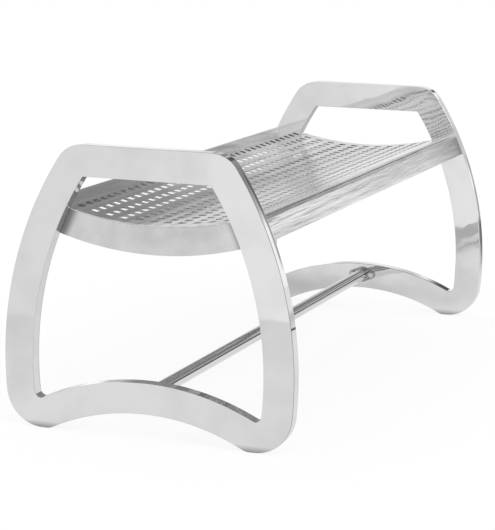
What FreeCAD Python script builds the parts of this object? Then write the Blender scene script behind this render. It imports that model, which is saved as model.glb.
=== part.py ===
import FreeCAD, Part
import math
import os

import Sketcher

# A stainless steel bench: two hollow end frames carry a dished, perforated seat pan and a low stretcher tube.
# X runs along the bench, Y from front to rear and Z up. The origin is on the floor below the middle.
# Every outline is drawn for the rear half in the Y Z plane and mirrored to the front.

SIDES = {"left": -1, "right": 1}
ENDS = {"front": -1, "rear": 1}
HEXAGON_TURNS = range(0, 360, 60)
NEAR = 0.01  # two lengths this close count as equal

SIZES = {
    # whole bench
    "bench_length": 1400,
    # end frames
    "frame_height": 585,
    "frame_half_depth": 313.5,
    "widest_height": 143,
    "frame_thickness": 27,
    "bar_width": 63.5,
    "leg_radius": 755,
    "top_corner_radius": 62,
    "foot_corner_radius": 80,
    "toe_radius": 30,
    "arch_rise": 52,
    "arch_radius": 465,
    "opening_top_radius": 3,
    "opening_foot_radius": 12,
    "skin_gauge": 2,
    "skin_edge_radius": 1,
    # seat pan
    "seat_height": 429.5,
    "dish_radius": 710,
    "roll_radius": 14,
    "apron_inset": 4.6,
    "apron_bottom": 419,
    "lip_width": 15,
    "sheet_gauge": 2,
    "hole_along": 19.5,
    "hole_across": 16,
    "hole_column_pitch": 34,
    "hole_row_pitch": 31.7,
    "hole_columns": 38,
    "hole_rows": 12,
    # seat end plates and rails
    "end_plate_depth": 59,
    "end_plate_gauge": 4,
    "weld_gap": 0.2,
    "rail_depth": 50,
    "rail_gauge": 5,
    # stretcher
    "stretcher_height": 88,
    "tube_radius": 15,
    "tube_wall": 2,
    "flange_gauge": 5,
    "flange_radius": 20,
    "flange_ear_radius": 10,
    "flange_edge_radius": 1,
    "flange_screw_offset": 25,
    # threaded backing plates
    "backing_gauge": 6,
    "leg_backing_half_width": 24,
    "leg_backing_margin": 14,
    "arch_backing_half_width": 40,
    "arch_backing_half_height": 16,
    # fasteners
    "upper_bolt_height": 446,
    "lower_bolt_height": 418,
    "screw_radius": 4,
    "screw_hole_gap": 0.5,
    "thread_gap": 0.1,
    "head_radius": 6.5,
    "head_height": 5,
    "head_edge_radius": 0.8,
    "socket_radius": 2.9,
    "socket_depth": 2.8,
    "washer_radius": 8,
    "washer_gauge": 1.6,
}

doc = FreeCAD.newDocument("bench")
sheet = doc.addObject("Spreadsheet::Sheet", "size")
for row, (name, size) in enumerate(SIZES.items(), start=1):
    sheet.set(f"A{row}", name)
    sheet.set(f"B{row}", str(size))
    sheet.setAlias(f"B{row}", name)
doc.recompute()

# Places that several pieces share, as expressions of the sheet's sizes
LEG_CENTRE = ("size.frame_half_depth - size.leg_radius", "size.widest_height")
ARCH_CENTRE = (None, "size.arch_rise - size.arch_radius")
DISH_CENTRE = (None, "size.seat_height + size.dish_radius")
BAR_MIDDLE = "(size.leg_radius - size.bar_width / 2)"
SCREW_HOLE = "size.screw_radius + size.screw_hole_gap"
THREAD_HOLE = "size.screw_radius + size.thread_gap"


def number(expression):
    """The value that an expression of the sheet's sizes has now."""
    return float(sheet.evalExpression(expression))


def place(centre):
    """A centre as a point, where no Y means that it lies on the mirror line."""
    across, height = centre
    return FreeCAD.Vector(number(across) if across else 0, number(height), 0)


def on_leg_middle(height):
    """Y and Z of a point on the middle line of the rear leg."""
    return f"{LEG_CENTRE[0]} + sqrt({BAR_MIDDLE}^2 - ({height} - {LEG_CENTRE[1]})^2)", height


BOLT_PLACES = [on_leg_middle("size.upper_bolt_height"), on_leg_middle("size.lower_bolt_height")]
FLANGE_PLACES = [("size.flange_screw_offset", "size.stretcher_height")]


# Outlines: chains of arcs and level lines, each tangent to the next

class Level:
    """A level stretch of an outline."""

    def __init__(self, height):
        self.height = height


class Round:
    """A round stretch of an outline: its middle is tied to sizes, or follows from its neighbours."""

    def __init__(self, radius, middle, tied=None):
        self.radius = radius
        self.reach = number(radius)
        self.middle = middle
        self.tied = tied


def tied_round(radius, centre):
    return Round(radius, place(centre), centre)


def middle_at_height(pivot, reach, height):
    """The point at one reach from a pivot and at one height, on the rear side."""
    rise = height - pivot.y
    return FreeCAD.Vector(pivot.x + math.sqrt(reach ** 2 - rise ** 2), height, 0)


def middle_between(low, low_reach, high, high_reach):
    """The point at one reach from a low pivot and another reach from a high one, on the rear side."""
    way = high - low
    along = (low_reach ** 2 - high_reach ** 2 + way.Length ** 2) / (2 * way.Length)
    aside = math.sqrt(low_reach ** 2 - along ** 2)
    way.normalize()
    return low + way * along + FreeCAD.Vector(way.y, -way.x, 0) * aside


def touch_point(one, two):
    """The point where two neighbouring stretches of a chain meet."""
    if isinstance(one, Level):
        return FreeCAD.Vector(two.middle.x, number(one.height), 0)
    if isinstance(two, Level):
        return touch_point(two, one)
    way = two.middle - one.middle
    inside_two = way.Length < two.reach and one.reach < two.reach
    way.normalize()
    return one.middle + way * (-one.reach if inside_two else one.reach)


# Sketches

def bind(sketch, size, kind, *where):
    """Add a dimension to a sketch and tie it to an expression of sizes."""
    index = sketch.addConstraint(Sketcher.Constraint(kind, *where, number(size)))
    sketch.setExpression(f"Constraints[{index}]", size)


def bind_point(sketch, tip, centre):
    """Tie a point of a sketch to a place, or to the mirror line where that has no Y."""
    across, height = centre
    if across:
        bind(sketch, across, "DistanceX", -1, 1, *tip)
    else:
        sketch.addConstraint(Sketcher.Constraint("PointOnObject", *tip, -2))
    bind(sketch, height, "DistanceY", -1, 1, *tip)


def origin_plane(body, role):
    return next(plane for plane in body.Origin.OriginFeatures if plane.Role == role)


def new_body(name, side=0, depth="0"):
    """A body whose own origin lies at a depth inward from one end of the bench, or at mid length."""
    body = doc.addObject("PartDesign::Body", name)
    body.Label = name
    body.setExpression("Placement.Base.x", f"{side} * (size.bench_length / 2 - ({depth}))")
    return body


def new_sketch(body, role="YZ_Plane"):
    sketch = body.newObject("Sketcher::SketchObject", f"{body.Name}_outline")
    sketch.AttachmentSupport = [(origin_plane(body, role), "")]
    sketch.MapMode = "FlatFace"
    return sketch


def draw_stretch(sketch, stretch, start, end):
    """Draw one stretch of a chain and give its geometry's index with the numbers of its two ends."""
    if isinstance(stretch, Level):
        index = sketch.addGeometry(Part.LineSegment(start, end))
        sketch.addConstraint(Sketcher.Constraint("Horizontal", index))
        bind(sketch, stretch.height, "DistanceY", -1, 1, index, 1)
        return index, 1, 2
    first = start - stretch.middle
    last = end - stretch.middle
    turns_left = first.cross(last).z > 0
    angles = [math.atan2(spoke.y, spoke.x) for spoke in ((first, last) if turns_left else (last, first))]
    if angles[1] < angles[0]:
        angles[1] += 2 * math.pi
    circle = Part.Circle(stretch.middle, FreeCAD.Vector(0, 0, 1), stretch.reach)
    index = sketch.addGeometry(Part.ArcOfCircle(circle, *angles))
    bind(sketch, stretch.radius, "Radius", index)
    if stretch.tied:
        bind_point(sketch, (index, 3), stretch.tied)
    return (index, 1, 2) if turns_left else (index, 2, 1)


def draw_chain(sketch, stretches, start, end):
    """Draw a chain of tangent stretches and give its two loose ends."""
    touches = [touch_point(one, two) for one, two in zip(stretches, stretches[1:])]
    starts = [start, *touches]
    ends = [*touches, end]
    drawn = [draw_stretch(sketch, *stretch) for stretch in zip(stretches, starts, ends)]
    for (one, _, last), (two, first, _) in zip(drawn, drawn[1:]):
        sketch.addConstraint(Sketcher.Constraint("Tangent", one, last, two, first))
    return (drawn[0][0], drawn[0][1]), (drawn[-1][0], drawn[-1][2])


def join(sketch, one, two):
    sketch.addConstraint(Sketcher.Constraint("Coincident", *one, *two))


def keep_on_mirror_line(sketch, *tips):
    for tip in tips:
        sketch.addConstraint(Sketcher.Constraint("PointOnObject", *tip, -2))


def draw_link(sketch, one, two):
    """Draw the straight line between two loose ends."""
    index = sketch.addGeometry(Part.LineSegment(sketch.getPoint(*one), sketch.getPoint(*two)))
    join(sketch, (index, 1), one)
    join(sketch, (index, 2), two)


def draw_polygon(sketch, corners):
    """Draw a closed outline of straight lines through corners that are tied to sizes."""
    points = [place(corner) for corner in corners]
    lines = [sketch.addGeometry(Part.LineSegment(*pair)) for pair in zip(points, points[1:] + points[:1])]
    for line, after in zip(lines, lines[1:] + lines[:1]):
        join(sketch, (line, 2), (after, 1))
    for line, corner in zip(lines, corners):
        bind_point(sketch, (line, 1), corner)


def draw_circles(sketch, places, radius):
    for centre in places:
        circle = Part.Circle(place(centre), FreeCAD.Vector(0, 0, 1), number(radius))
        index = sketch.addGeometry(circle)
        bind(sketch, radius, "Radius", index)
        bind_point(sketch, (index, 3), centre)


# Solids

def pad(body, sketch, length, towards):
    """Pad a sketch along X: up for 1, down for -1, half each way for 0."""
    feature = body.newObject("PartDesign::Pad", f"{body.Name}_pad")
    feature.Profile = sketch
    feature.setExpression("Length", length)
    if towards:
        feature.Reversed = towards < 0
    else:
        feature.SideType = "Symmetric"
    return feature


def mirror_to_front(body, features):
    mirror = body.newObject("PartDesign::Mirrored", f"{body.Name}_mirror")
    mirror.Originals = features
    mirror.MirrorPlane = (origin_plane(body, "XZ_Plane"), [""])
    body.Tip = mirror
    doc.recompute()


def check_cut(body, volume_before):
    if body.Shape.Volume >= volume_before:
        raise RuntimeError(f"a cut in {body.Label} takes nothing away")


def round_edges(body, radius, wanted):
    """Round the edges of a body that a test picks."""
    base = body.Tip
    names = [f"Edge{at}" for at, edge in enumerate(base.Shape.Edges, start=1) if wanted(edge)]
    fillet = body.newObject("PartDesign::Fillet", f"{body.Name}_fillet")
    fillet.Base = (base, names)
    fillet.setExpression("Radius", radius)
    body.Tip = fillet
    doc.recompute()


def on_start_face(edge):
    """Whether an edge bounds the face that its body starts from, and is no screw hole."""
    in_plane = max(abs(edge.BoundBox.XMin), abs(edge.BoundBox.XMax)) < NEAR
    return in_plane and not edge.isClosed()


# End frames

def rim_chain(inset):
    """The outer edge of a frame, or a line at an inset from it, from the middle of the top to the arch."""
    leg = place(LEG_CENTRE)
    arch = place(ARCH_CENTRE)
    top_height = number("size.frame_height - size.top_corner_radius")
    top_reach = number("size.leg_radius - size.top_corner_radius")
    foot_reach = number("size.leg_radius - size.foot_corner_radius")
    toe_reach = number("size.arch_radius + size.toe_radius")
    top_middle = middle_at_height(leg, top_reach, top_height)
    foot_middle = middle_at_height(leg, foot_reach, number("size.foot_corner_radius"))
    toe_middle = middle_at_height(arch, toe_reach, number("size.toe_radius"))
    top = f"size.frame_height - {inset}"
    crown = f"size.arch_rise + {inset}"
    stretches = [
        Level(top),
        Round(f"size.top_corner_radius - {inset}", top_middle),
        tied_round(f"size.leg_radius - {inset}", LEG_CENTRE),
        Round(f"size.foot_corner_radius - {inset}", foot_middle),
        Level(inset),
        Round(f"size.toe_radius - {inset}", toe_middle),
        tied_round(f"size.arch_radius + {inset}", ARCH_CENTRE),
    ]
    return stretches, place((None, top)), place((None, crown))


def opening_chain(outset):
    """The inner edge of a frame, or a line at an outset into the bar, from the top bar to the arch."""
    leg = place(LEG_CENTRE)
    arch = place(ARCH_CENTRE)
    corner_height = number("size.frame_height - size.bar_width - size.opening_top_radius")
    corner_reach = number("size.leg_radius - size.bar_width - size.opening_top_radius")
    foot_leg_reach = number("size.leg_radius - size.bar_width - size.opening_foot_radius")
    foot_arch_reach = number("size.arch_radius + size.bar_width + size.opening_foot_radius")
    foot_middle = middle_between(arch, foot_arch_reach, leg, foot_leg_reach)
    top = f"size.frame_height - size.bar_width + {outset}"
    crown = f"size.arch_rise + size.bar_width - {outset}"
    stretches = [
        Level(top),
        Round(f"size.opening_top_radius + {outset}", middle_at_height(leg, corner_reach, corner_height)),
        tied_round(f"size.leg_radius - size.bar_width + {outset}", LEG_CENTRE),
        Round(f"size.opening_foot_radius + {outset}", foot_middle),
        tied_round(f"size.arch_radius + size.bar_width - {outset}", ARCH_CENTRE),
    ]
    return stretches, place((None, top)), place((None, crown))


def frame_loop(name, side, depth, length, towards, chains, hole_places=()):
    """One loop shaped piece of an end frame, between two chains."""
    body = new_body(name, side, depth)
    sketch = new_sketch(body)
    one_tips, two_tips = [draw_chain(sketch, *chain) for chain in chains]
    keep_on_mirror_line(sketch, *one_tips, *two_tips)
    for one, two in zip(one_tips, two_tips):
        draw_link(sketch, one, two)
    draw_circles(sketch, hole_places, SCREW_HOLE)
    mirror_to_front(body, [pad(body, sketch, length, towards)])
    return body


def end_frame(side_name):
    side = SIDES[side_name]
    gauge = "size.skin_gauge"
    skin_edges = [rim_chain("0"), opening_chain("0")]
    outer = frame_loop(f"{side_name}_frame_outer_skin", side, "0", gauge, -side, skin_edges)
    inner = frame_loop(f"{side_name}_frame_inner_skin", side, "size.frame_thickness", gauge, side, skin_edges,
                       BOLT_PLACES + FLANGE_PLACES)
    for skin in (outer, inner):
        round_edges(skin, "size.skin_edge_radius", on_start_face)
    between = "size.frame_thickness - 2 * size.skin_gauge"
    rim = frame_loop(f"{side_name}_frame_rim_band", side, gauge, between, -side,
                     [rim_chain("0"), rim_chain(gauge)])
    opening = frame_loop(f"{side_name}_frame_opening_band", side, gauge, between, -side,
                         [opening_chain(gauge), opening_chain("0")])
    return [outer, inner, rim, opening]


BACKING_DEPTH = "size.frame_thickness - size.skin_gauge - size.backing_gauge"


def leg_backing_plate(side_name, end_name):
    """The threaded plate inside a hollow leg that takes two seat bolts."""
    side = SIDES[side_name]
    body = new_body(f"{side_name}_{end_name}_leg_backing_plate", side, BACKING_DEPTH)
    sketch = new_sketch(body)
    mirrored = ENDS[end_name]
    centre = (f"{mirrored} * ({LEG_CENTRE[0]})", LEG_CENTRE[1])
    levels = ["size.upper_bolt_height + size.leg_backing_margin",
              "size.lower_bolt_height - size.leg_backing_margin"]
    tips = []
    for sign in "+-":
        edge = tied_round(f"{BAR_MIDDLE} {sign} size.leg_backing_half_width", centre)
        corners = [middle_at_height(place(LEG_CENTRE), edge.reach, number(level)) for level in levels]
        for corner in corners:
            corner.x *= mirrored
        ends = draw_chain(sketch, [edge], *corners)
        for end, level in zip(ends, levels):
            bind(sketch, level, "DistanceY", -1, 1, *end)
        tips.append(ends)
    for one, two in zip(*tips):
        draw_link(sketch, one, two)
    holes = [(f"{mirrored} * ({across})", height) for across, height in BOLT_PLACES]
    draw_circles(sketch, holes, THREAD_HOLE)
    pad(body, sketch, "size.backing_gauge", -side)
    return body


def arch_backing_plate(side_name):
    """The threaded plate inside a hollow arch that takes the two flange screws."""
    side = SIDES[side_name]
    body = new_body(f"{side_name}_arch_backing_plate", side, BACKING_DEPTH)
    sketch = new_sketch(body)
    top = "size.stretcher_height + size.arch_backing_half_height"
    bottom = "size.stretcher_height - size.arch_backing_half_height"
    half_width = "size.arch_backing_half_width"
    draw_polygon(sketch, [(None, top), (half_width, top), (half_width, bottom), (None, bottom)])
    draw_circles(sketch, FLANGE_PLACES, THREAD_HOLE)
    mirror_to_front(body, [pad(body, sketch, "size.backing_gauge", -side)])
    return body


# Seat

def pan_chain(inset):
    """The top face of the pan, or a line at an inset below it, from the middle of the dish to an apron."""
    roll_middle = middle_between(
        place(LEG_CENTRE), number("size.leg_radius - size.apron_inset - size.roll_radius"),
        place(DISH_CENTRE), number("size.dish_radius + size.roll_radius"))
    apron = tied_round(f"size.leg_radius - size.apron_inset - ({inset})", LEG_CENTRE)
    stretches = [
        tied_round(f"size.dish_radius + {inset}", DISH_CENTRE),
        Round(f"size.roll_radius - ({inset})", roll_middle),
        apron,
    ]
    start = place((None, f"size.seat_height - ({inset})"))
    return stretches, start, middle_at_height(apron.middle, apron.reach, number("size.apron_bottom"))


def draw_pan_chain(sketch, inset):
    """Draw one face of the pan's section, tied to the mirror line and to the apron's lower edge."""
    top, bottom = draw_chain(sketch, *pan_chain(inset))
    keep_on_mirror_line(sketch, top)
    bind(sketch, "size.apron_bottom", "DistanceY", -1, 1, *bottom)
    return top, bottom


def lip_sketch(body):
    """The section of the lip that turns inward along an apron's lower edge, between the end plates."""
    sketch = new_sketch(body)
    inner_radius = "(size.leg_radius - size.apron_inset - size.sheet_gauge)"
    apron = f"{LEG_CENTRE[0]} + sqrt({inner_radius}^2 - (size.apron_bottom - {LEG_CENTRE[1]})^2)"
    root = f"{apron} + size.sheet_gauge / 2"
    tip = f"{apron} - size.lip_width"
    top = "size.apron_bottom + size.sheet_gauge"
    draw_polygon(sketch, [(tip, "size.apron_bottom"), (root, "size.apron_bottom"), (root, top), (tip, top)])
    return sketch


def cut_holes(body):
    """Cut the grid of rectangular holes through the dish."""
    sketch = new_sketch(body, "XY_Plane")
    columns_span = "(size.hole_columns - 1) * size.hole_column_pitch"
    rows_span = "(size.hole_rows - 1) * size.hole_row_pitch"
    left, right = [f"-{columns_span} / 2 {sign} size.hole_along / 2" for sign in "-+"]
    front, rear = [f"-{rows_span} / 2 {sign} size.hole_across / 2" for sign in "-+"]
    draw_polygon(sketch, [(left, front), (right, front), (right, rear), (left, rear)])
    hole = body.newObject("PartDesign::Pocket", "seat_pan_hole")
    hole.Profile = sketch
    hole.Type = "ThroughAll"
    hole.Reversed = True
    grid = body.newObject("PartDesign::LinearPattern", "seat_pan_holes")
    grid.Originals = [hole]
    grid.Direction = (origin_plane(body, "X_Axis"), [""])
    grid.setExpression("Length", columns_span)
    grid.setExpression("Occurrences", "size.hole_columns")
    grid.Direction2 = (origin_plane(body, "Y_Axis"), [""])
    grid.setExpression("Length2", rows_span)
    grid.setExpression("Occurrences2", "size.hole_rows")
    body.Tip = grid
    doc.recompute()


def seat_pan():
    """The dished sheet with its rolled edges, aprons and lips, between the inner faces of the frames."""
    body = new_body("seat_pan")
    sketch = new_sketch(body)
    top_tips = draw_pan_chain(sketch, "0")
    under_tips = draw_pan_chain(sketch, "size.sheet_gauge")
    for one, two in zip(top_tips, under_tips):
        draw_link(sketch, one, two)
    pan = pad(body, sketch, "size.bench_length - 2 * size.frame_thickness", 0)
    lip = pad(body, lip_sketch(body), "size.bench_length - 2 * (size.frame_thickness + "
              "size.end_plate_gauge + size.weld_gap)", 0)
    mirror_to_front(body, [pan, lip])
    plain_volume = body.Shape.Volume
    cut_holes(body)
    check_cut(body, plain_volume)
    return body


def seat_end_plate(side_name):
    """The plate that closes one end of the pan and is bolted to both legs of a frame."""
    side = SIDES[side_name]
    body = new_body(f"{side_name}_seat_end_plate", side, "size.frame_thickness")
    sketch = new_sketch(body)
    top, corner = draw_pan_chain(sketch, "size.sheet_gauge + size.weld_gap")
    low = "size.seat_height - size.end_plate_depth"
    lowest = place((None, low))
    corner_point = sketch.getPoint(*corner)
    rise = corner_point.y - lowest.y
    radius = (corner_point.x ** 2 + rise ** 2) / (2 * rise)
    circle = Part.Circle(lowest + FreeCAD.Vector(0, radius, 0), FreeCAD.Vector(0, 0, 1), radius)
    corner_angle = math.atan2(rise - radius, corner_point.x)
    edge = sketch.addGeometry(Part.ArcOfCircle(circle, -math.pi / 2, corner_angle))
    bind_point(sketch, (edge, 1), (None, low))
    keep_on_mirror_line(sketch, (edge, 3))
    join(sketch, (edge, 2), corner)
    draw_link(sketch, top, (edge, 1))
    draw_circles(sketch, BOLT_PLACES, SCREW_HOLE)
    mirror_to_front(body, [pad(body, sketch, "size.end_plate_gauge", -side)])
    return body


def seat_rail(end_name):
    """The flat bar on edge under the pan, on the land between the second and third rows from the middle."""
    body = new_body(f"{end_name}_seat_rail")
    sketch = new_sketch(body)
    mirrored = ENDS[end_name]
    middle = "2 * size.hole_row_pitch"
    near, far = [f"({middle} {sign} size.rail_gauge / 2)" for sign in "-+"]
    under_radius = "(size.dish_radius + size.sheet_gauge)"
    top = f"{DISH_CENTRE[1]} - sqrt({under_radius}^2 - {near}^2) - size.weld_gap"
    bottom = f"{top} - size.rail_depth"
    draw_polygon(sketch, [(f"{mirrored} * {near}", bottom), (f"{mirrored} * {far}", bottom),
                          (f"{mirrored} * {far}", top), (f"{mirrored} * {near}", top)])
    pad(body, sketch, "size.bench_length - 2 * (size.frame_thickness + size.end_plate_gauge)", 0)
    return body


# Stretcher

def stretcher_tube():
    body = new_body("stretcher_tube")
    sketch = new_sketch(body)
    middle = [(None, "size.stretcher_height")]
    draw_circles(sketch, middle, "size.tube_radius")
    draw_circles(sketch, middle, "size.tube_radius - size.tube_wall")
    pad(body, sketch, "size.bench_length - 2 * (size.frame_thickness + size.flange_gauge)", 0)
    return body


def stretcher_flange(side_name):
    """The oval flange at one end of the tube, with an ear for each screw."""
    side = SIDES[side_name]
    body = new_body(f"{side_name}_stretcher_flange", side, "size.frame_thickness + size.flange_gauge")
    sketch = new_sketch(body)
    hub_centre = (None, "size.stretcher_height")
    hub = place(hub_centre)
    ear = place(FLANGE_PLACES[0])
    hub_radius = number("size.flange_radius")
    ear_radius = number("size.flange_ear_radius")
    slope = (hub_radius - ear_radius) / (ear - hub).Length
    up_spoke, down_spoke = [FreeCAD.Vector(slope, sign * math.sqrt(1 - slope ** 2), 0) for sign in (1, -1)]
    hub_top, hub_bottom = [hub + FreeCAD.Vector(0, sign * hub_radius, 0) for sign in (1, -1)]
    flanks = [(hub + up_spoke * hub_radius, ear + up_spoke * ear_radius),
              (ear + down_spoke * ear_radius, hub + down_spoke * hub_radius)]
    hub_round = tied_round("size.flange_radius", hub_centre)
    ear_round = tied_round("size.flange_ear_radius", FLANGE_PLACES[0])
    upper = draw_stretch(sketch, hub_round, hub_top, flanks[0][0])
    nose = draw_stretch(sketch, ear_round, flanks[0][1], flanks[1][0])
    lower = draw_stretch(sketch, hub_round, flanks[1][1], hub_bottom)
    for (one, _, last), (two, first, _), flank_ends in zip((upper, nose), (nose, lower), flanks):
        flank = sketch.addGeometry(Part.LineSegment(*flank_ends))
        sketch.addConstraint(Sketcher.Constraint("Tangent", one, last, flank, 1))
        sketch.addConstraint(Sketcher.Constraint("Tangent", flank, 2, two, first))
    upper_tip = upper[:2]
    lower_tip = lower[::2]
    keep_on_mirror_line(sketch, upper_tip, lower_tip)
    draw_link(sketch, lower_tip, upper_tip)
    draw_circles(sketch, FLANGE_PLACES, SCREW_HOLE)
    mirror_to_front(body, [pad(body, sketch, "size.flange_gauge", side)])
    round_edges(body, "size.flange_edge_radius", on_start_face)
    return body


# Fasteners

def hexagon_corners(centre):
    """The corners of one screw's hexagon socket."""
    across, height = centre
    return [(f"{across} + size.socket_radius * cos({turn} deg)",
             f"{height} + size.socket_radius * sin({turn} deg)") for turn in HEXAGON_TURNS]


def socket_screws(name, side, depth, places, grip):
    """A set of socket head screws that point outward, with their heads inside the bench."""
    body = new_body(name, side, depth)
    shanks = new_sketch(body)
    draw_circles(shanks, places, "size.screw_radius")
    heads = new_sketch(body)
    draw_circles(heads, places, "size.head_radius")
    features = [pad(body, shanks, grip, side), pad(body, heads, "size.head_height", -side)]
    doc.recompute()
    solid_volume = body.Shape.Volume
    hexagons = new_sketch(body)
    hexagons.setExpression("AttachmentOffset.Base.z", f"{-side} * size.head_height")
    for centre in places:
        draw_polygon(hexagons, hexagon_corners(centre))
    sockets = body.newObject("PartDesign::Pocket", f"{name}_sockets")
    sockets.Profile = hexagons
    sockets.setExpression("Length", "size.socket_depth")
    sockets.Reversed = side > 0
    doc.recompute()
    check_cut(body, solid_volume)
    mirror_to_front(body, [*features, sockets])
    head_top = number("size.head_height")
    head_width = number("2 * size.head_radius")
    round_edges(body, "size.head_edge_radius",
                lambda edge: abs(abs(edge.CenterOfMass.x) - head_top) < NEAR
                and abs(edge.BoundBox.YLength - head_width) < NEAR)
    return body


def seat_washers(side_name):
    side = SIDES[side_name]
    body = new_body(f"{side_name}_seat_washers", side, "size.frame_thickness + size.end_plate_gauge")
    sketch = new_sketch(body)
    draw_circles(sketch, BOLT_PLACES, "size.washer_radius")
    draw_circles(sketch, BOLT_PLACES, SCREW_HOLE)
    mirror_to_front(body, [pad(body, sketch, "size.washer_gauge", -side)])
    return body


def seat_bolts(side_name):
    stack = "size.end_plate_gauge + size.washer_gauge"
    return socket_screws(f"{side_name}_seat_bolts", SIDES[side_name], f"size.frame_thickness + {stack}",
                         BOLT_PLACES, f"{stack} + size.skin_gauge + size.backing_gauge")


def flange_screws(side_name):
    return socket_screws(f"{side_name}_flange_screws", SIDES[side_name],
                         "size.frame_thickness + size.flange_gauge", FLANGE_PLACES,
                         "size.flange_gauge + size.skin_gauge + size.backing_gauge")


# Whole bench

pieces = [seat_pan(), stretcher_tube()]
pieces += [seat_rail(end_name) for end_name in ENDS]
for side_name in SIDES:
    pieces += end_frame(side_name)
    pieces += [leg_backing_plate(side_name, end_name) for end_name in ENDS]
    pieces.append(arch_backing_plate(side_name))
    pieces.append(seat_end_plate(side_name))
    pieces.append(seat_washers(side_name))
    pieces.append(seat_bolts(side_name))
    pieces.append(stretcher_flange(side_name))
    pieces.append(flange_screws(side_name))
doc.recompute()

for item in doc.Objects:
    if "Invalid" in item.State or "Error" in item.State:
        raise RuntimeError(f"{item.Name} failed: {item.State}")
for piece in pieces:
    if piece.Shape.isNull() or not piece.Shape.isValid():
        raise RuntimeError(f"{piece.Label} has no valid shape")

os.makedirs("parts", exist_ok=True)
for piece in pieces:
    piece.Shape.exportStep(f"parts/{piece.Label}.step")
    print(f"{piece.Label}: {len(piece.Shape.Solids)} solids, {piece.Shape.Volume / 1000:.1f} cm3")
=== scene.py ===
import math

import bpy
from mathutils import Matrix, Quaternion, Vector

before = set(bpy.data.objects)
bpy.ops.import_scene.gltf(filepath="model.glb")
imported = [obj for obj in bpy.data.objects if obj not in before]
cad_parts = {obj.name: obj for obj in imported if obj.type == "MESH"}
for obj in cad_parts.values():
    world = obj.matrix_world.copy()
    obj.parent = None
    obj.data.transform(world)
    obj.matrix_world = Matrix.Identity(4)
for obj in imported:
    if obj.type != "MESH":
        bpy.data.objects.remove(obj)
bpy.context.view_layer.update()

# A stainless steel bench: mirror polished end frames, a brushed seat and a polished stretcher tube.
# The looks are set here, and every shape comes with the loaded frame. Lengths are in metres.

SIDES = ("left", "right")
ENDS = ("front", "rear")


# Building nodes

# A Mix node has its two colours at these inputs and the blended one at this output
MIX_FIRST = 6
MIX_SECOND = 7
MIX_RESULT = 2


def grey(level):
    return (level, level, level)


def add_node(tree, kind, inputs=None, **settings):
    """Add a node, set its properties and set or link its inputs."""
    made = tree.nodes.new(kind)
    for name, value in settings.items():
        setattr(made, name, value)
    for name, value in (inputs or {}).items():
        if isinstance(value, bpy.types.NodeSocket):
            tree.links.new(value, made.inputs[name])
        else:
            made.inputs[name].default_value = value
    return made


def maths(tree, operation, *values, **settings):
    """One step of arithmetic with single values."""
    made = add_node(tree, "ShaderNodeMath", dict(enumerate(values)), operation=operation, **settings)
    return made.outputs["Value"]


def vector_maths(tree, operation, *values):
    """One step of arithmetic with vectors that gives a vector."""
    made = add_node(tree, "ShaderNodeVectorMath", dict(enumerate(values)), operation=operation)
    return made.outputs["Vector"]


def vector_measure(tree, operation, *values):
    """A length, a distance or a product of vectors, which is a single value."""
    made = add_node(tree, "ShaderNodeVectorMath", dict(enumerate(values)), operation=operation)
    return made.outputs["Value"]


def split_axes(tree, vector):
    return add_node(tree, "ShaderNodeSeparateXYZ", {"Vector": vector}).outputs


def place_on_bench(tree):
    """The place of a surface point in the bench's own metres."""
    return add_node(tree, "ShaderNodeTexCoord").outputs["Object"]


def true_normal(tree):
    return add_node(tree, "ShaderNodeNewGeometry").outputs["True Normal"]


def fade(tree, value, start, full, **settings):
    """A share that is 0 at the start and 1 at the full value, and stays so beyond them."""
    ends = {"Value": value, "From Min": start, "From Max": full}
    return add_node(tree, "ShaderNodeMapRange", ends, **settings).outputs["Result"]


def spread(tree, share, low, high):
    """Map a share from 0 and 1 to two ends."""
    ends = {"Value": share, "To Min": low, "To Max": high}
    return add_node(tree, "ShaderNodeMapRange", ends).outputs["Result"]


def blend_colours(tree, share, first, second):
    """Blend two colours by a share that changes over the surface."""
    mix = add_node(tree, "ShaderNodeMix", data_type="RGBA")
    tree.links.new(share, mix.inputs["Factor"])
    for colour, socket in ((first, mix.inputs[MIX_FIRST]), (second, mix.inputs[MIX_SECOND])):
        if isinstance(colour, bpy.types.NodeSocket):
            tree.links.new(colour, socket)
        else:
            socket.default_value = (*colour, 1)
    return mix.outputs[MIX_RESULT]


def new_group(name, inputs, outputs):
    """An empty shader node group with its named sockets, and its two end nodes."""
    group = bpy.data.node_groups.new(name, "ShaderNodeTree")
    for socket, (kind, value) in inputs.items():
        made = group.interface.new_socket(socket, in_out="INPUT", socket_type=kind)
        made.default_value = value
    for socket in outputs:
        group.interface.new_socket(socket, in_out="OUTPUT", socket_type="NodeSocketFloat")
    return group, group.nodes.new("NodeGroupInput"), group.nodes.new("NodeGroupOutput")


def place_group(tree, group, **values):
    """Place a group in a material with its own values, and give its outputs."""
    made = add_node(tree, "ShaderNodeGroup", node_tree=group)
    for name, value in values.items():
        made.inputs[name.capitalize()].default_value = value
    return made.outputs


# Effects that several finishes share

NO_STRETCH = (1, 1, 1)
STRETCH_SOCKET = ("NodeSocketVector", NO_STRETCH)
SCALE_SOCKET = ("NodeSocketFloat", 10)
HEIGHT_SOCKET = ("NodeSocketFloat", 0.02)
FINE_LINE_DETAIL = 4
BROAD_LINE_DETAIL = 2
BROAD_LINE_SCALE = 0.12
BROAD_LINE_START = 0.35
BROAD_LINE_FULL = 0.65
HAZE_DETAIL = 5
HAZE_START = 0.42
HAZE_FULL = 0.72
WAVE_DETAIL = 1


def stretched_noise(tree, stretch, scale, detail):
    """Noise in the bench's own metres, drawn out by a stretch of each axis."""
    drawn = vector_maths(tree, "MULTIPLY", place_on_bench(tree), stretch)
    noise = add_node(tree, "ShaderNodeTexNoise", {"Vector": drawn, "Scale": scale, "Detail": detail})
    return noise.outputs["Fac"]


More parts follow.
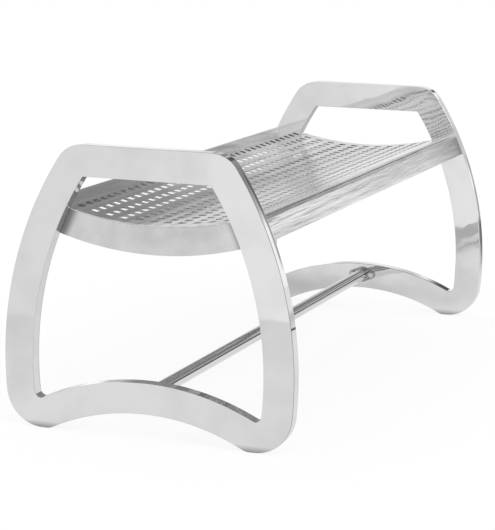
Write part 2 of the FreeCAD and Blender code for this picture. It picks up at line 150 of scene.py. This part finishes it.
def brush_lines_group():
    """Scratches of a belt that runs along one axis: fine ones, and broad bands of them."""
    group, start, end = new_group(
        "brush_lines", {"Stretch": STRETCH_SOCKET, "Scale": SCALE_SOCKET}, ["Fine", "Broad"])
    stretch = start.outputs["Stretch"]
    scale = start.outputs["Scale"]
    fine = stretched_noise(group, stretch, scale, FINE_LINE_DETAIL)
    broad_scale = maths(group, "MULTIPLY", scale, BROAD_LINE_SCALE)
    bands = stretched_noise(group, stretch, broad_scale, BROAD_LINE_DETAIL)
    broad = fade(group, bands, BROAD_LINE_START, BROAD_LINE_FULL)
    group.links.new(fine, end.inputs["Fine"])
    group.links.new(broad, end.inputs["Broad"])
    return group


def cloudy_haze_group():
    """Soft clouds where hands and cloths have dulled the polish."""
    group, start, end = new_group("cloudy_haze", {"Scale": SCALE_SOCKET}, ["Haze"])
    clouds = stretched_noise(group, NO_STRETCH, start.outputs["Scale"], HAZE_DETAIL)
    group.links.new(fade(group, clouds, HAZE_START, HAZE_FULL), end.inputs["Haze"])
    return group


def sheet_waves_group():
    """The slow waves of thin sheet that bend what it mirrors."""
    group, start, end = new_group(
        "sheet_waves", {"Stretch": STRETCH_SOCKET, "Scale": SCALE_SOCKET}, ["Height"])
    waves = stretched_noise(group, start.outputs["Stretch"], start.outputs["Scale"], WAVE_DETAIL)
    group.links.new(waves, end.inputs["Height"])
    return group


def foot_contact_shade_group():
    """Painted contact shade just above the floor."""
    group, start, end = new_group("foot_contact_shade", {"Height": HEIGHT_SOCKET}, ["Scuff"])
    height = split_axes(group, place_on_bench(group))["Z"]
    contact_shade = fade(group, height, start.outputs["Height"], 0)
    group.links.new(contact_shade, end.inputs["Scuff"])
    return group


BRUSH_LINES = brush_lines_group()
CLOUDY_HAZE = cloudy_haze_group()
SHEET_WAVES = sheet_waves_group()
FOOT_CONTACT_SHADE = foot_contact_shade_group()


def new_finish(name):
    """A metal material with its node tree and its shader."""
    material = bpy.data.materials.new(name)
    material.use_nodes = True
    tree = material.node_tree
    shader = tree.nodes["Principled BSDF"]
    shader.inputs["Metallic"].default_value = 1
    return material, tree, shader


def link_looks(tree, shader, colour, roughness):
    tree.links.new(colour, shader.inputs["Base Color"])
    tree.links.new(roughness, shader.inputs["Roughness"])


def add_bump(tree, shader, height, strength, distance):
    bump = add_node(tree, "ShaderNodeBump", {"Height": height, "Strength": strength, "Distance": distance})
    tree.links.new(bump.outputs["Normal"], shader.inputs["Normal"])


# The broad faces of the frames

# Painted shade: the feet of the frames darken just above the floor, where they meet it
CONTACT_SHADE_TONE = grey(0.30)
SKIN_POLISH = grey(0.82)
SKIN_HAZE = (0.73, 0.73, 0.735)
SKIN_HAZE_SCALE = 9
SKIN_ROUGHNESS = (0.02, 0.09)
SKIN_CONTACT_SHADE_HEIGHT = 0.014
SKIN_WAVE_SCALE = 14
SKIN_WAVE_HEIGHT = 0.0004
SKIN_BOW_START = 0.5
SKIN_BUMP_STRENGTH = 1
SKIN_BUMP_DISTANCE = 1
OUTER_SKIN_BOW = 0
INNER_SKIN_BOWS = {"left": 0, "right": 0.074}
# Painted reflection: the dark lines along the rounded edges of the skins
EDGE_REFLECTION_TONE = grey(0.30)
EDGE_START = 0.95
EDGE_FULL = 0.75
# How much of the painted dark edge reflection each skin shows along its opening and along its rim
OUTER_EDGE_REFLECTIONS = {"opening_line": 0.25, "rim_line": 1}
INNER_EDGE_REFLECTIONS = {"opening_line": 1, "rim_line": 0}
FRAME_MIDDLE = (0, 0, 0.3)
ACROSS_BENCH = (0, 1, 1)


def add_painted_edge_reflections(tree, around, opening_line, rim_line):
    """Thin dark lines painted where a skin rounds into the opening and into the rim, each by its own share.
    They are a painted reflection of something dark in the rounded edge.
    """
    normal = true_normal(tree)
    broadside = maths(tree, "ABSOLUTE", split_axes(tree, normal)["X"])
    edge = fade(tree, broadside, EDGE_START, EDGE_FULL)
    from_middle = vector_maths(tree, "SUBTRACT", place_on_bench(tree), FRAME_MIDDLE)
    across = vector_maths(tree, "MULTIPLY", from_middle, ACROSS_BENCH)
    outward = vector_measure(tree, "DOT_PRODUCT", across, normal)
    on_rim = maths(tree, "GREATER_THAN", outward, 0)
    share = spread(tree, on_rim, opening_line, rim_line)
    line = maths(tree, "MULTIPLY", edge, share)
    return blend_colours(tree, line, around, EDGE_REFLECTION_TONE)


def skin_relief(tree, bow):
    """The waves of a skin, on a bow that grows below the seat."""
    waves = place_group(tree, SHEET_WAVES, scale=SKIN_WAVE_SCALE)["Height"]
    height = split_axes(tree, place_on_bench(tree))["Z"]
    below = maths(tree, "SUBTRACT", SKIN_BOW_START, height, use_clamp=True)
    square = maths(tree, "POWER", below, 2)
    bowed = maths(tree, "MULTIPLY", square, bow)
    return maths(tree, "MULTIPLY_ADD", waves, SKIN_WAVE_HEIGHT, bowed)


def mirror_skin_finish(name, bow, edge_reflections):
    """A broad face of a frame: mirror polish with waves, a little haze, painted dark edge reflections and
    painted contact shade at the feet.
    """
    material, tree, shader = new_finish(name)
    haze = place_group(tree, CLOUDY_HAZE, scale=SKIN_HAZE_SCALE)["Haze"]
    polished = blend_colours(tree, haze, SKIN_POLISH, SKIN_HAZE)
    edged = add_painted_edge_reflections(tree, polished, **edge_reflections)
    contact_shade = place_group(tree, FOOT_CONTACT_SHADE, height=SKIN_CONTACT_SHADE_HEIGHT)["Scuff"]
    colour = blend_colours(tree, contact_shade, edged, CONTACT_SHADE_TONE)
    link_looks(tree, shader, colour, spread(tree, haze, *SKIN_ROUGHNESS))
    add_bump(tree, shader, skin_relief(tree, bow), SKIN_BUMP_STRENGTH, SKIN_BUMP_DISTANCE)
    return material


# The strips that close the edges of the frames

BAND_POLISH = grey(0.83)
BAND_HAZE = (0.76, 0.76, 0.765)
BAND_HAZE_SCALE = 16
BAND_LINES = {"stretch": (0.05, 1, 1), "scale": 400}
BAND_ROUGHNESS = (0.02, 0.08)
BAND_CONTACT_SHADE_HEIGHT = 0.03
REFLECTION_STRIP_TONE = grey(0.25)
STRIP_BLUR = 0.004
STRIP_FADE = 0.03
# Where the painted dark reflection strip of each rim starts along the bench, and the heights where it ends
RIM_REFLECTION_STRIPS = {
    "left": {"start": -0.686, "foot": 0.36, "top": 0.56},
    "right": {"start": 0.683, "foot": 0.13, "top": 0.42}}


def add_painted_reflection_strip(tree, around, start, foot, top):
    """A painted dark reflection strip along the +X half of a rim, between two heights."""
    parts = split_axes(tree, place_on_bench(tree))
    across = fade(tree, parts["X"], start, start + STRIP_BLUR)
    above = fade(tree, parts["Z"], foot, foot + STRIP_FADE)
    below = fade(tree, parts["Z"], top, top - STRIP_FADE)
    between = maths(tree, "MULTIPLY", above, below)
    reflection_strip = maths(tree, "MULTIPLY", across, between)
    return blend_colours(tree, reflection_strip, around, REFLECTION_STRIP_TONE)


def mirror_band_finish(name, reflection_strip=None):
    """A strip around a frame: mirror polish with faint belt lines across it and painted contact shade at the
    feet.
    """
    material, tree, shader = new_finish(name)
    lines = place_group(tree, BRUSH_LINES, **BAND_LINES)
    haze = place_group(tree, CLOUDY_HAZE, scale=BAND_HAZE_SCALE)["Haze"]
    polished = blend_colours(tree, haze, BAND_POLISH, BAND_HAZE)
    # Painted reflection: a darker strip along one half of the rim
    if reflection_strip:
        polished = add_painted_reflection_strip(tree, polished, **reflection_strip)
    contact_shade = place_group(tree, FOOT_CONTACT_SHADE, height=BAND_CONTACT_SHADE_HEIGHT)["Scuff"]
    colour = blend_colours(tree, contact_shade, polished, CONTACT_SHADE_TONE)
    link_looks(tree, shader, colour, spread(tree, lines["Broad"], *BAND_ROUGHNESS))
    return material


# The seat pan

SEAT_DARK = grey(0.60)
SEAT_LIGHT = grey(0.78)
SEAT_LINES = {"stretch": (0.03, 1, 1), "scale": 500}
SEAT_ROUGHNESS = (0.10, 0.24)
SEAT_WAVES = {"stretch": (0.25, 1, 1), "scale": 22}
SEAT_BRUSHING_HEIGHT = 0.06
SEAT_BUMP_STRENGTH = 0.5
SEAT_BUMP_DISTANCE = 0.004
UPRIGHT_START = 0.9
UPRIGHT_FULL = 0.4
STREAK_LINES = {"stretch": (0.08, 1, 1), "scale": 900}
STREAK_HEIGHT = 0.16
# Painted shade: the upright faces of the seat darken towards the right end
APRON_SHADE_START = 0.40
APRON_SHADE_FULL = 0.66
APRON_SHADE_TONE = grey(0.26)
# The faces that look down are darker: partly a dull mill finish, partly painted shade below the seat
UNDERSIDE_FACING = -0.5
UNDERSIDE_MILL_AND_SHADE_TONE = grey(0.36)


def seat_colour(tree, broad_lines, facing, upright):
    """Brushed steel, with painted shade that darkens the aprons towards the right end, and a darker underside
    that is partly dull mill finish and partly painted shade.
    """
    brushed = blend_colours(tree, broad_lines, SEAT_DARK, SEAT_LIGHT)
    along = split_axes(tree, place_on_bench(tree))["X"]
    at_right_end = fade(tree, along, APRON_SHADE_START, APRON_SHADE_FULL)
    apron_shade = maths(tree, "MULTIPLY", upright, at_right_end)
    with_apron_shade = blend_colours(tree, apron_shade, brushed, APRON_SHADE_TONE)
    underside_share = maths(tree, "LESS_THAN", facing, UNDERSIDE_FACING)
    return blend_colours(tree, underside_share, with_apron_shade, UNDERSIDE_MILL_AND_SHADE_TONE)


def seat_relief(tree, fine_lines, upright):
    """Fine brushing on slow waves, with broader streaks on the upright faces."""
    waves = place_group(tree, SHEET_WAVES, **SEAT_WAVES)["Height"]
    brushing = maths(tree, "MULTIPLY_ADD", fine_lines, SEAT_BRUSHING_HEIGHT, waves)
    streaks = place_group(tree, BRUSH_LINES, **STREAK_LINES)["Broad"]
    streak_height = spread(tree, upright, 0, STREAK_HEIGHT)
    return maths(tree, "MULTIPLY_ADD", streaks, streak_height, brushing)


def brushed_seat_finish():
    """The seat pan: satin, brushed along the bench."""
    material, tree, shader = new_finish("brushed_seat")
    lines = place_group(tree, BRUSH_LINES, **SEAT_LINES)
    facing = split_axes(tree, true_normal(tree))["Z"]
    upright = fade(tree, facing, UPRIGHT_START, UPRIGHT_FULL)
    colour = seat_colour(tree, lines["Broad"], facing, upright)
    link_looks(tree, shader, colour, spread(tree, lines["Fine"], *SEAT_ROUGHNESS))
    relief = seat_relief(tree, lines["Fine"], upright)
    add_bump(tree, shader, relief, SEAT_BUMP_STRENGTH, SEAT_BUMP_DISTANCE)
    return material


# The seat's end plates

PLATE_LIGHT = grey(0.75)
PLATE_DARK = grey(0.60)
PLATE_HAZE_SCALE = 14
PLATE_LINES = {"stretch": (1, 0.05, 1), "scale": 300}
PLATE_ROUGHNESS = (0.18, 0.40)
PLATE_BUMP_STRENGTH = 0.15
PLATE_BUMP_DISTANCE = 0.0004
WELD_TONE = grey(0.26)
WELD_SLOPE = 0.44
WELD_NEAR = 0.350
WELD_FAR = 0.372


def weld_share(tree):
    """How near a place on an end plate is to the welds along the two legs."""
    parts = split_axes(tree, place_on_bench(tree))
    outward = maths(tree, "ABSOLUTE", parts["Y"])
    along_leg = maths(tree, "MULTIPLY_ADD", parts["Z"], WELD_SLOPE, outward)
    return fade(tree, along_leg, WELD_NEAR, WELD_FAR, interpolation_type="SMOOTHSTEP")


def satin_plate_finish():
    """The seat's end plates: satin, brushed from front to rear, cloudy and dark at the welds."""
    material, tree, shader = new_finish("satin_end_plate")
    lines = place_group(tree, BRUSH_LINES, **PLATE_LINES)
    haze = place_group(tree, CLOUDY_HAZE, scale=PLATE_HAZE_SCALE)["Haze"]
    satin = blend_colours(tree, haze, PLATE_LIGHT, PLATE_DARK)
    colour = blend_colours(tree, weld_share(tree), satin, WELD_TONE)
    link_looks(tree, shader, colour, spread(tree, lines["Fine"], *PLATE_ROUGHNESS))
    add_bump(tree, shader, lines["Fine"], PLATE_BUMP_STRENGTH, PLATE_BUMP_DISTANCE)
    return material


# The stretcher tube

TUBE_DARK = grey(0.78)
TUBE_LIGHT = grey(0.85)
TUBE_LINES = {"stretch": (0.02, 1, 1), "scale": 600}
TUBE_ROUGHNESS = (0.06, 0.10)
TUBE_HEIGHT = 0.088
# Painted reflection: a dark line along the front of the tube
DARK_LINE_ANGLE = math.radians(69)
DARK_LINE_HALF_ANGLE = math.radians(6.5)
DARK_LINE_REFLECTION_TONE = grey(0.05)


def dark_line_share(tree):
    """1 on a painted dark reflection line along the front of the tube, and 0 beside it."""
    parts = split_axes(tree, place_on_bench(tree))
    to_front = maths(tree, "MULTIPLY", parts["Y"], -1)
    to_top = maths(tree, "SUBTRACT", parts["Z"], TUBE_HEIGHT)
    angle = maths(tree, "ARCTAN2", to_front, to_top)
    return maths(tree, "COMPARE", angle, DARK_LINE_ANGLE, DARK_LINE_HALF_ANGLE)


def polished_tube_finish():
    """The stretcher tube: polished, with faint lines and a painted dark reflection line along its front."""
    material, tree, shader = new_finish("polished_tube")
    lines = place_group(tree, BRUSH_LINES, **TUBE_LINES)
    polished = blend_colours(tree, lines["Broad"], TUBE_DARK, TUBE_LIGHT)
    colour = blend_colours(tree, dark_line_share(tree), polished, DARK_LINE_REFLECTION_TONE)
    link_looks(tree, shader, colour, spread(tree, lines["Fine"], *TUBE_ROUGHNESS))
    return material


# The small pieces and the hidden ones

TURNED_HAZE_SCALE = 120
TURNED_ROUGHNESS = (0.12, 0.28)
FASTENER_LIGHT = grey(0.82)
FASTENER_DARK = grey(0.66)
# Painted dark reflection: the flanges are the same turned steel as the fasteners, made darker in tone
FLANGE_SHADED_LIGHT = grey(0.42)
FLANGE_SHADED_DARK = grey(0.26)
MILL_HAZE_SCALE = 60
MILL_ROUGHNESS = (0.35, 0.55)
MILL_LIGHT = grey(0.66)
MILL_DARK = grey(0.56)


def cloudy_finish(name, scale, light, dark, roughness):
    """Plain steel that is darker and rougher in soft clouds."""
    material, tree, shader = new_finish(name)
    haze = place_group(tree, CLOUDY_HAZE, scale=scale)["Haze"]
    colour = blend_colours(tree, haze, light, dark)
    link_looks(tree, shader, colour, spread(tree, haze, *roughness))
    return material


def turned_finish(name, light, dark):
    """Turned pieces: bolts, screws, washers and flanges."""
    return cloudy_finish(name, TURNED_HAZE_SCALE, light, dark, TURNED_ROUGHNESS)


def mill_plate_finish():
    """The backing plates inside the frames and the rails below the seat: dull mill finish."""
    return cloudy_finish("mill_plate", MILL_HAZE_SCALE, MILL_LIGHT, MILL_DARK, MILL_ROUGHNESS)


# Giving the pieces their finishes

def inner_skin_finish(side):
    return mirror_skin_finish(f"mirror_{side}_inner_skin", INNER_SKIN_BOWS[side], INNER_EDGE_REFLECTIONS)


def rim_band_finish(side):
    return mirror_band_finish(f"mirror_{side}_rim", RIM_REFLECTION_STRIPS[side])


OUTER_SKIN = mirror_skin_finish("mirror_outer_skin", OUTER_SKIN_BOW, OUTER_EDGE_REFLECTIONS)
INNER_SKINS = {side: inner_skin_finish(side) for side in SIDES}
RIM_BANDS = {side: rim_band_finish(side) for side in SIDES}
OPENING_BAND = mirror_band_finish("mirror_opening")
BRUSHED_SEAT = brushed_seat_finish()
SATIN_PLATE = satin_plate_finish()
POLISHED_TUBE = polished_tube_finish()
TURNED_FASTENER = turned_finish("turned_fastener", FASTENER_LIGHT, FASTENER_DARK)
SHADED_TURNED_FLANGE = turned_finish("turned_flange_painted_shade", FLANGE_SHADED_LIGHT, FLANGE_SHADED_DARK)
MILL_PLATE = mill_plate_finish()


def finish_piece(node_name, finish):
    """Give one piece of the bench its finish."""
    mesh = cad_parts[node_name].data
    for at in range(len(mesh.materials)):
        mesh.materials[at] = finish


def finish_side(side):
    """The pieces of one end of the bench."""
    finish_piece(f"{side}_frame_outer_skin", OUTER_SKIN)
    finish_piece(f"{side}_frame_inner_skin", INNER_SKINS[side])
    finish_piece(f"{side}_frame_rim_band", RIM_BANDS[side])
    finish_piece(f"{side}_frame_opening_band", OPENING_BAND)
    finish_piece(f"{side}_seat_end_plate", SATIN_PLATE)
    finish_piece(f"{side}_stretcher_flange", SHADED_TURNED_FLANGE)
    finish_piece(f"{side}_seat_washers", TURNED_FASTENER)
    finish_piece(f"{side}_seat_bolts", TURNED_FASTENER)
    finish_piece(f"{side}_flange_screws", TURNED_FASTENER)
    finish_piece(f"{side}_arch_backing_plate", MILL_PLATE)
    for end in ENDS:
        finish_piece(f"{side}_{end}_leg_backing_plate", MILL_PLATE)


def finish_bench():
    """All pieces of the bench."""
    finish_piece("seat_pan", BRUSHED_SEAT)
    finish_piece("stretcher_tube", POLISHED_TUBE)
    for end in ENDS:
        finish_piece(f"{end}_seat_rail", MILL_PLATE)
    for side in SIDES:
        finish_side(side)


# The floor

FLOOR_HALF_WIDTH = 30
# The bare floor, which dims towards the rear in the half where the camera stands
FLOOR_WHITE = grey(0.93)
FLOOR_DIM = grey(0.845)
FLOOR_DIM_WAY = (0.44, 1, 0)
FLOOR_DIM_START = -0.45
FLOOR_DIM_FULL = -0.05
CAMERA_HALF_START = -0.5
CAMERA_HALF_FULL = -1
# The wide paper that the bench stands on, which dims towards its edges
PAPER_WHITE = grey(0.85)
PAPER_DIM = grey(0.76)
PAPER_DIM_START = 1.15
PAPER_WAY = (0.949, -0.316, 0)
PAPER_MIDDLE = -0.10
PAPER_HALF_WIDTH = 1.68
PAPER_BLUR = 0.02
# Round spots: a dark mark and a dim area beyond the bench's right end, and the shade below its rear
FLOOR_SPOTS = (
    {"middle": (1.29, -1.13, 0), "near": 0.069, "far": 0.071, "tone": 0.06},
    {"middle": (2.6, -0.6, 0), "near": 0.6, "far": 1.45, "tone": 0.30},
    {"middle": (0.20, 0.42, 0), "near": 0.15, "far": 0.60, "tone": 0.62})
# How much of the floor glows by itself: as the steel mirrors it, and as the camera sees it
MIRRORED_SHARE = 0.85
SHADOW_NEAR = 0.7
SHADOW_FAR = 1.6
LIFT_NEAR = 0.88
LIFT_FAR = 1


def bare_floor_tone(tree, place):
    """The tone of the floor around the paper."""
    to_rear = vector_measure(tree, "DOT_PRODUCT", place, FLOOR_DIM_WAY)
    at_rear = fade(tree, to_rear, FLOOR_DIM_START, FLOOR_DIM_FULL)
    along = split_axes(tree, place)["X"]
    near_camera = fade(tree, along, CAMERA_HALF_START, CAMERA_HALF_FULL)
    corner = maths(tree, "MULTIPLY", at_rear, near_camera)
    return blend_colours(tree, corner, FLOOR_WHITE, FLOOR_DIM)


def add_paper(tree, place, around):
    """The paper laid over the tone around it."""
    along = vector_measure(tree, "DOT_PRODUCT", place, PAPER_WAY)
    offset = maths(tree, "SUBTRACT", along, PAPER_MIDDLE)
    from_middle = maths(tree, "ABSOLUTE", offset)
    inside = fade(tree, from_middle, PAPER_HALF_WIDTH + PAPER_BLUR, PAPER_HALF_WIDTH - PAPER_BLUR)
    to_edge = fade(tree, from_middle, PAPER_DIM_START, PAPER_HALF_WIDTH)
    paper = blend_colours(tree, to_edge, PAPER_WHITE, PAPER_DIM)
    return blend_colours(tree, inside, around, paper)


def add_spot(tree, place, around, middle, near, far, tone):
    """A round spot of one tone on the floor, which fades between two distances from its middle."""
    away = vector_measure(tree, "DISTANCE", place, middle)
    inside = fade(tree, away, far, near)
    return blend_colours(tree, inside, around, grey(tone))


def floor_shader(tree, place, tone):
    """White for the camera, with a faint shadow around the bench, and its own tone for the steel."""
    rays = add_node(tree, "ShaderNodeLightPath").outputs
    colour = blend_colours(tree, rays["Is Camera Ray"], tone, grey(1))
    matt = add_node(tree, "ShaderNodeBsdfDiffuse", {"Color": colour}).outputs["BSDF"]
    glow = add_node(tree, "ShaderNodeEmission", {"Color": colour, "Strength": 1}).outputs["Emission"]
    away = vector_measure(tree, "LENGTH", place)
    lift = spread(tree, fade(tree, away, SHADOW_NEAR, SHADOW_FAR), LIFT_NEAR, LIFT_FAR)
    lifted = maths(tree, "MULTIPLY", rays["Is Camera Ray"], lift)
    share = maths(tree, "MULTIPLY_ADD", rays["Is Glossy Ray"], MIRRORED_SHARE, lifted)
    return add_node(tree, "ShaderNodeMixShader", {0: share, 1: matt, 2: glow}).outputs["Shader"]


def floor_material():
    """Paper on a pale floor with a few spots."""
    material = bpy.data.materials.new("pale_floor")
    material.use_nodes = True
    tree = material.node_tree
    tree.nodes.clear()
    place = add_node(tree, "ShaderNodeTexCoord").outputs["Object"]
    tone = add_paper(tree, place, bare_floor_tone(tree, place))
    for spot in FLOOR_SPOTS:
        tone = add_spot(tree, place, tone, **spot)
    add_node(tree, "ShaderNodeOutputMaterial", {"Surface": floor_shader(tree, place, tone)})
    return material


def pale_floor():
    """A wide flat floor below the bench."""
    far = FLOOR_HALF_WIDTH
    corners = [(-far, -far, 0), (far, -far, 0), (far, far, 0), (-far, far, 0)]
    mesh = bpy.data.meshes.new("floor")
    mesh.from_pydata(corners, [], [(0, 1, 2, 3)])
    mesh.materials.append(floor_material())
    floor = bpy.data.objects.new("floor", mesh)
    bpy.context.scene.collection.objects.link(floor)


# The surround that the steel mirrors

# Brightness beyond the bench's right end, by the sine of the height above a slanting horizon
SURROUND_SLANT = 0.10
SURROUND_LEVELS = (
    (-0.10, 0.90), (-0.02, 1.10), (0.10, 1.10), (0.155, 0.50), (0.22, 0.28), (0.55, 0.26), (0.80, 0.90))
# Soft oval patches in it: the bright backdrop, a grey gap at its side, a bright place that the
# near end of the seat mirrors, the dark end of the studio, and a dim place that the seat's rear strip mirrors
SURROUND_PATCHES = (
    {"middle": (0, 0.052, 0.139), "half_size": (0.275, 0.232), "edge": (1.25, 0.86), "level": 0.95},
    {"middle": (0, -0.270, 0.100), "half_size": (0.040, 0.060), "edge": (1.40, 0.60), "level": 0.65},
    {"middle": (0, 0.415, 0.090), "half_size": (0.045, 0.080), "edge": (1.50, 0.50), "level": 1.00},
    {"middle": (0, 0.005, 0.355), "half_size": (0.075, 0.090), "edge": (1.40, 0.60), "level": 0.10},
    {"middle": (0, 0.200, 0.345), "half_size": (0.075, 0.050), "edge": (1.40, 0.60), "level": 0.28})
# The bright side of the studio, where the camera stands
CAMERA_SIDE_START = 0.3
CAMERA_SIDE_FULL = -0.2
CAMERA_SIDE_LEVEL = grey(0.85)


def surround_levels(tree, parts):
    """The levels of the surround by height, without its patches."""
    height = maths(tree, "MULTIPLY_ADD", parts["Y"], SURROUND_SLANT, parts["Z"])
    ramp = add_node(tree, "ShaderNodeValToRGB", {"Fac": fade(tree, height, -1, 1)})
    levels = ramp.color_ramp.elements
    for _ in SURROUND_LEVELS[2:]:
        levels.new(1)
    for level, (sine, brightness) in zip(levels, SURROUND_LEVELS):
        level.position = (sine + 1) / 2
        level.color = (*grey(brightness), 1)
    return ramp.outputs["Color"]


def add_patch(tree, way, around, middle, half_size, edge, level):
    """A soft oval patch of one level in the surround, seen along the bench."""
    moved = vector_maths(tree, "SUBTRACT", way, middle)
    growth = (0, 1 / half_size[0], 1 / half_size[1])
    away = vector_measure(tree, "LENGTH", vector_maths(tree, "MULTIPLY", moved, growth))
    inside = fade(tree, away, *edge, interpolation_type="SMOOTHSTEP")
    return blend_colours(tree, inside, around, grey(level))


def surround_tone(tree):
    """A soft grey studio beyond the bench's right end and a bright one on the camera's side."""
    way = add_node(tree, "ShaderNodeTexCoord").outputs["Generated"]
    parts = split_axes(tree, way)
    tone = surround_levels(tree, parts)
    for patch in SURROUND_PATCHES:
        tone = add_patch(tree, way, tone, **patch)
    camera_side = fade(tree, parts["X"], CAMERA_SIDE_START, CAMERA_SIDE_FULL)
    return blend_colours(tree, camera_side, tone, CAMERA_SIDE_LEVEL)


def studio_surround():
    """A white backdrop for the camera, and the studio for what the steel mirrors."""
    world = bpy.data.worlds.new("studio_surround")
    bpy.context.scene.world = world
    world.use_nodes = True
    tree = world.node_tree
    tree.nodes.clear()
    studio = add_node(tree, "ShaderNodeBackground", {"Color": surround_tone(tree)}).outputs["Background"]
    white = add_node(tree, "ShaderNodeBackground", {"Color": (1, 1, 1, 1)}).outputs["Background"]
    seen = add_node(tree, "ShaderNodeLightPath").outputs["Is Camera Ray"]
    mix = add_node(tree, "ShaderNodeMixShader", {0: seen, 1: studio, 2: white})
    add_node(tree, "ShaderNodeOutputWorld", {"Surface": mix.outputs["Shader"]})


# The lamps

LAMP_AIM = Vector((0, 0, 0.3))
LAMP_SIZE = 3
LAMPS = {
    "key_lamp": {"place": Vector((-1.6, -3.0, 3.6)), "power": 70},
    "fill_lamp": {"place": Vector((1.8, 3.0, 3.4)), "power": 45}}


def soft_lamp(name, place, power):
    """A wide square lamp that looks at the bench."""
    light = bpy.data.lights.new(name, "AREA")
    light.shape = "SQUARE"
    light.size = LAMP_SIZE
    light.energy = power
    lamp = bpy.data.objects.new(name, light)
    lamp.location = place
    lamp.rotation_mode = "QUATERNION"
    lamp.rotation_quaternion = (LAMP_AIM - place).to_track_quat("-Z", "Y")
    bpy.context.scene.collection.objects.link(lamp)


# The camera of the photograph

CAMERA_PLACE = Vector((-4.208, -1.587, 1.108))
CAMERA_AZIMUTH = math.radians(-68.63)
CAMERA_ELEVATION = math.radians(11.04)
CAMERA_ROLL = math.radians(0.65)
LENS_LENGTH = 135.7
SENSOR_WIDTH = 36


def photo_camera():
    """A camera at the photograph's place and angle. Its lens and sensor are in millimetres."""
    data = bpy.data.cameras.new("camera")
    data.lens = LENS_LENGTH
    data.sensor_width = SENSOR_WIDTH
    camera = bpy.data.objects.new("camera", data)
    flat = math.cos(CAMERA_ELEVATION)
    back = Vector((
        math.sin(CAMERA_AZIMUTH) * flat, -math.cos(CAMERA_AZIMUTH) * flat, math.sin(CAMERA_ELEVATION)))
    level = (-back).to_track_quat("-Z", "Y")
    camera.location = CAMERA_PLACE
    camera.rotation_mode = "QUATERNION"
    camera.rotation_quaternion = level @ Quaternion((0, 0, 1), CAMERA_ROLL)
    bpy.context.scene.collection.objects.link(camera)
    bpy.context.scene.camera = camera


finish_bench()
pale_floor()
studio_surround()
for lamp_name, lamp_values in LAMPS.items():
    soft_lamp(lamp_name, **lamp_values)
photo_camera()
bpy.context.scene.view_settings.view_transform = "Standard"
